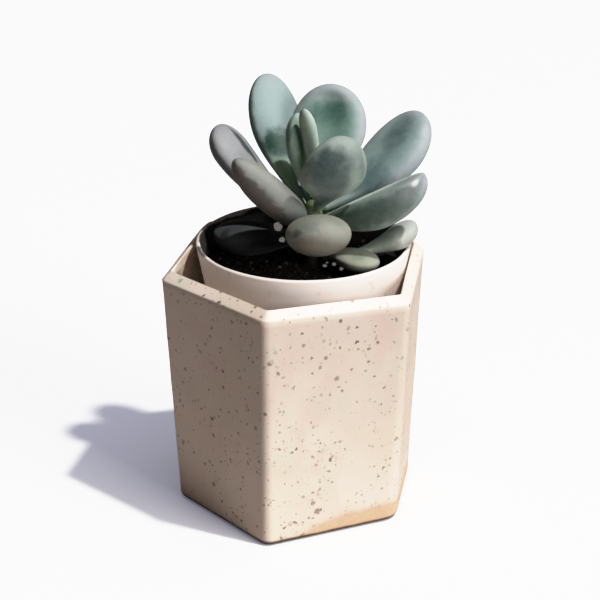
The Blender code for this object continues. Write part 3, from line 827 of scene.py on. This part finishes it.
def makeLeaf(name, values, finish, seed):
    leaf = {**leafUsual, **values}
    bm = bmesh.new()
    layers = bm.verts.layers
    bloomLayer, skinLayer = (layers.float_vector.new(label) for label in ("leafBloom", "leafSkin"))
    coatLayer = layers.float.new("leafCoat")
    bmesh.ops.create_uvsphere(bm, u_segments=leaf["segments"], v_segments=leaf["rings"], radius=1.0)
    start = -leaf["neck"] / leaf["length"]
    shift = Vector((seed * 3.7, seed * 1.3, seed * 7.1))
    for vert in bm.verts:
        latitude = math.acos(max(-1.0, min(1.0, -vert.co.z)))
        t = mix(start, 1.0, (1 - math.cos(latitude)) / 2)
        angle = math.atan2(vert.co.y, vert.co.x)
        atPole = latitude < 0.01 or latitude > math.pi - 0.01
        breadth = 0.0 if atPole else leaf["width"] * leafBreadth(leaf, t)
        across, up = math.cos(angle), math.sin(angle)
        half, hollow = leaf["belly"], 0.0
        if up > 0:
            half = leaf["upper"]
            hollow = leaf["dish"] * up ** 4 * smoothStep(0.12, 0.5, t) * smoothStep(1.0, 0.86, t)
        vert.co = leafPoint(leaf, t, breadth / 2 * across, breadth * half * up * (1 - hollow))
        tones = leafTones(leaf, math.degrees(angle) % 360, t, vert.co * leafShared["coatScale"] + shift)
        vert[bloomLayer], vert[skinLayer], vert[coatLayer] = tones
    bmesh.ops.recalc_face_normals(bm, faces=bm.faces)
    bm.normal_update()
    for vert in bm.verts:
        where = vert.co * leafShared["unevenScale"] + shift
        vert.co += vert.normal * leafShared["uneven"] * noise.noise(where)
    setInSoil(bm)
    piece = meshPiece(bm, name.replace("leaf_", "fineLeaf_"), finish)
    placePiece(piece, "powdery_leaf", name)


def makeLeaves(finish):
    for seed, (name, values) in enumerate(leaves.items()):
        makeLeaf(name, values, finish, seed)
    print("leaves made:", len(leaves))


def powderyLeaf():
    shader = Shader("powderyLeaf")
    place = shader.objectPlace()
    bloom, skin = shader.attribute("leafBloom"), shader.attribute("leafSkin")
    fine = shader.noise(place, 750.0, detail=5.0, roughness=0.6)["Fac"]
    cloudy = shader.remap(fine, 0.25, 0.75, -0.09, 0.09, smooth=False)
    coat = shader.math("ADD", shader.attribute("leafCoat", "Fac"), cloudy)
    colour = shader.blend(shader.remap(coat, 0.0, 1.0, smooth=False), skin, bloom)
    grain = shader.noise(place, 3000.0)["Fac"]
    powder = shader.remap(grain, 0.55, 0.80, 0.0, leafShared["grainShare"])
    colour = shader.blend(powder, colour, leafShared["grainColour"])
    thinner = shader.blend(0.5, colour, skin)
    colour = shader.blend(shader.remap(fine, 0.62, 0.80, 0.0, 0.18), colour, thinner)
    normal = shader.bump(shader.noise(place, 420.0)["Fac"], 0.00008, strength=0.5)
    normal = shader.bump(grain, 0.00003, strength=0.5, under=normal)
    roughness = shader.remap(coat, 0.0, 1.0, 0.46, 0.70)
    return shader.finish(colour, roughness, normal, specular=0.32, sheen=0.03, sheenRoughness=0.5,
                         subsurface=0.12, subsurfaceRadius=(0.4, 1.0, 0.5), subsurfaceScale=0.002)


# soil: a plug of dark compost with crumbs, chips of bark and a little perlite on it, its colours deepened to
# near black as painted shade

soil = dict(
    height=0.0733, mound=0.0005, ripple=0.0002, lumps=0.00038, sideGap=0.00036, footGap=0.0003,
    # the soil's colours are nearly black: the compost's own dark deepened as a painted shade
    segments=144, rings=44, damp=(0.004, 0.0035, 0.003), dry=(0.011, 0.009, 0.0075),
    crumbs=1500, crumbSizes=(0.00030, 0.00095), crumbSeed=23,
    chips=46, chipLength=(0.0015, 0.0040), chipSeed=5,
    # the crumbs' dark and pale colours are likewise deepened as a painted shade
    darkCrumb=(0.005, 0.004, 0.0035), paleCrumb=(0.016, 0.0125, 0.010), bark=(0.13, 0.085, 0.050),
    fibre=(0.020, 0.014, 0.010),
    # perlite: x, y and half size, and how high the grain lies if it isn't on the soil
    perlite=(
        (-0.0076, 0.0067, 0.00140, 0.0832), (-0.0064, 0.0010, 0.00085, 0.0816), (0.0033, 0.0012, 0.00042),
        (0.0062, 0.0002, 0.00058), (0.0069, 0.0024, 0.00040), (0.0090, 0.0012, 0.00062),
        (0.0112, -0.0022, 0.00064), (0.0188, 0.0068, 0.00045), (0.0197, 0.0046, 0.00034),
        (-0.0190, 0.0190, 0.00090), (0.0105, 0.0300, 0.00080), (-0.0130, -0.0120, 0.00050),
        (0.0010, 0.0260, 0.00100),
    ),
    perliteSeed=8, pore=(0.70, 0.69, 0.67), grain=(0.95, 0.94, 0.93),
    grainPaintedGlow=0.12, grainPaintedGlowColour=(1.0, 0.98, 0.96),  # a painted glow that lifts the shaded grains
)


def soilTop(x, y):
    offset = Vector((x - liner["centre"][0], y - liner["centre"][1]))
    share = offset.length / linerRadius(soil["height"])
    angle = math.atan2(offset.y, offset.x)
    ripple = math.sin(3 * angle + 9 * share) + 0.6 * math.sin(5 * angle - 14 * share)
    return soil["height"] + soil["mound"] * (1 - share ** 2) + soil["ripple"] * ripple * share


def lumpy(place):
    coarse = noise.noise(place * 420.0) + 0.6 * noise.noise(place * 1000.0 + Vector((3, 8, 1)))
    return soil["lumps"] * coarse


def makeSoil(finish):
    foot = liner["rimHeight"] - liner["depth"] + liner["floor"] + soil["footGap"]
    edge = foot + liner["footRound"]
    wall = liner["wall"] + soil["sideGap"]
    outer = linerRadius(soil["height"]) - wall
    footRadius = linerRadius(foot) - wall - liner["footRound"]
    profile = [(0.0, foot), (footRadius, foot), (linerRadius(edge) - wall, edge)]
    profile += [(outer * (1 - i / soil["rings"]), soil["height"]) for i in range(soil["rings"] + 1)]
    bm = bmesh.new()
    turnProfile(bm, profile, liner["centre"], soil["segments"])
    bmesh.ops.recalc_face_normals(bm, faces=bm.faces)
    for vert in bm.verts:
        if vert.co.z > edge + soil["sideGap"]:
            place = Vector((vert.co.x, vert.co.y, 0.0))
            vert.co.z = soilTop(vert.co.x, vert.co.y) + lumpy(place)
    piece = meshPiece(bm, "soilPlug", finish)
    placePiece(piece, "dark_soil", "soil")


def scatterPlace(draw, margin):  # a place on the soil inside the liner
    reach = linerRadius(soil["height"]) - liner["wall"] - margin
    place = math.sqrt(draw.random()) * reach * heading(draw.uniform(0, 360))
    x, y = place.x + liner["centre"][0], place.y + liner["centre"][1]
    return Vector((x, y, soilTop(x, y) + lumpy(Vector((x, y, 0.0)))))


def turned(draw, tilt=1.0):
    turns = (draw.uniform(-tilt, tilt), draw.uniform(-tilt, tilt), draw.uniform(-math.pi, math.pi))
    spin = Matrix.Rotation(turns[2], 4, "Z")
    return spin @ Matrix.Rotation(turns[0], 4, "X") @ Matrix.Rotation(turns[1], 4, "Y")


def makeCrumbs(finish):
    draw = random.Random(soil["crumbSeed"])
    bm = bmesh.new()
    tone = bm.verts.layers.float.new("crumbTone")
    for i in range(soil["crumbs"]):
        size = mix(*soil["crumbSizes"], draw.random() ** 2.2)
        made = bmesh.ops.create_icosphere(bm, subdivisions=1, radius=1.0)["verts"]
        shade = draw.random()
        for vert in made:
            vert.co *= draw.uniform(0.72, 1.2)
            vert[tone] = shade
        shape = Matrix.Diagonal((size * draw.uniform(0.8, 1.5), size, size * draw.uniform(0.45, 0.9), 1.0))
        place = Matrix.Translation(scatterPlace(draw, size * 1.8 + 0.0003))
        bmesh.ops.transform(bm, matrix=place @ turned(draw, 0.6) @ shape, verts=made)
    piece = meshPiece(bm, "soilCrumbs", finish, flat=True)
    placePiece(piece, "dark_soil")


def makeChips(finish):
    draw = random.Random(soil["chipSeed"])
    bm = bmesh.new()
    tone = bm.verts.layers.float.new("crumbTone")
    for i in range(soil["chips"]):
        length = draw.uniform(*soil["chipLength"])
        earlier = set(bm.verts)
        corners = bmesh.ops.create_cube(bm, size=1.0)["verts"]
        edges = list({edge for vert in corners for edge in vert.link_edges})
        bmesh.ops.subdivide_edges(bm, edges=edges, cuts=2, use_grid_fill=True)
        verts = [vert for vert in bm.verts if vert not in earlier]
        shade = draw.uniform(0.35, 1.0)
        for vert in verts:
            vert.co *= draw.uniform(0.84, 1.08)
            vert.co.x += 0.12 * vert.co.y * draw.uniform(-1, 1)
            vert[tone] = shade
        breadth, thickness = length * draw.uniform(0.3, 0.6), length * draw.uniform(0.12, 0.28)
        shape = Matrix.Diagonal((length, breadth, thickness, 1.0))
        place = Matrix.Translation(scatterPlace(draw, length * 0.62 + 0.0003) + Vector((0, 0, 0.0001)))
        bmesh.ops.transform(bm, matrix=place @ turned(draw, 0.35) @ shape, verts=verts)
    bmesh.ops.recalc_face_normals(bm, faces=bm.faces)
    piece = meshPiece(bm, "barkChips", finish, flat=True)
    placePiece(piece, "dark_soil")


def makePerlite(finish):
    draw = random.Random(soil["perliteSeed"])
    bm = bmesh.new()
    for x, y, size, *lying in soil["perlite"]:
        made = bmesh.ops.create_icosphere(bm, subdivisions=4, radius=1.0)["verts"]
        shift = Vector((draw.uniform(0, 50), draw.uniform(0, 50), 0.0))
        for vert in made:
            swelling = 1 + 0.28 * noise.noise(vert.co * 1.3 + shift)
            vert.co *= swelling + 0.10 * noise.noise(vert.co * 4.0 + shift)
        shape = Matrix.Diagonal((size * draw.uniform(0.9, 1.2), size, size * draw.uniform(0.75, 0.95), 1.0))
        level = lying[0] if lying else soilTop(x, y)
        place = Matrix.Translation((x, y, level + 0.35 * size))
        bmesh.ops.transform(bm, matrix=place @ turned(draw, 0.5) @ shape, verts=made)
    piece = meshPiece(bm, "perlite", finish)
    placePiece(piece, "dark_soil")


def darkSoil():
    shader = Shader("darkSoil")
    place = shader.objectPlace()
    crumbs = shader.noise(place, 900.0, detail=5.0)["Fac"]
    colour = shader.blend(shader.remap(crumbs, 0.3, 0.7), soil["damp"], soil["dry"])
    return shader.finish(colour, 0.95, shader.bump(crumbs, 0.0003), specular=0.15)


def crumbStuff():
    shader = Shader("soilCrumb")
    tone = shader.attribute("crumbTone", "Fac")
    fibre = shader.noise(shader.objectPlace((1.0, 1.0, 2.5)), 2400.0, detail=4.0)["Fac"]
    colour = shader.blend(shader.remap(tone, 0.0, 0.9), soil["darkCrumb"], soil["paleCrumb"])
    colour = shader.blend(shader.remap(tone, 0.93, 1.0), colour, soil["bark"])
    colour = shader.blend(shader.remap(fibre, 0.45, 0.75, 0.0, 0.5), colour, soil["fibre"])
    return shader.finish(colour, 0.92, shader.bump(fibre, 0.00010), specular=0.18)


def perliteStuff():
    shader = Shader("perliteGrain")
    pores = shader.remap(shader.cells(shader.objectPlace(), 2600.0)["Distance"], 0.10, 0.45)
    colour = shader.blend(pores, soil["pore"], soil["grain"])
    return shader.finish(colour, 0.85, shader.bump(pores, 0.00008), specular=0.25,
                         glow=soil["grainPaintedGlow"], glowColour=soil["grainPaintedGlowColour"])


makeCamera()
makeLight()
makeFloor()
makePot(stoneware())
makeLiner(creamLiner())
makeStem(stemSkin())
makeLeaves(powderyLeaf())
makeSoil(darkSoil())
crumb = crumbStuff()
makeCrumbs(crumb)
makeChips(crumb)
makePerlite(perliteStuff())
print("soil made")

scene.view_settings.view_transform = "Standard"
scene.view_settings.use_curve_mapping = True
easing = scene.view_settings.curve_mapping
easing.white_level = [light["white"]] * 3
for brightness, shown in light["shoulder"]:
    easing.curves[3].points.new(brightness / light["white"], shown)
easing.update()

bpy.context.view_layer.update()
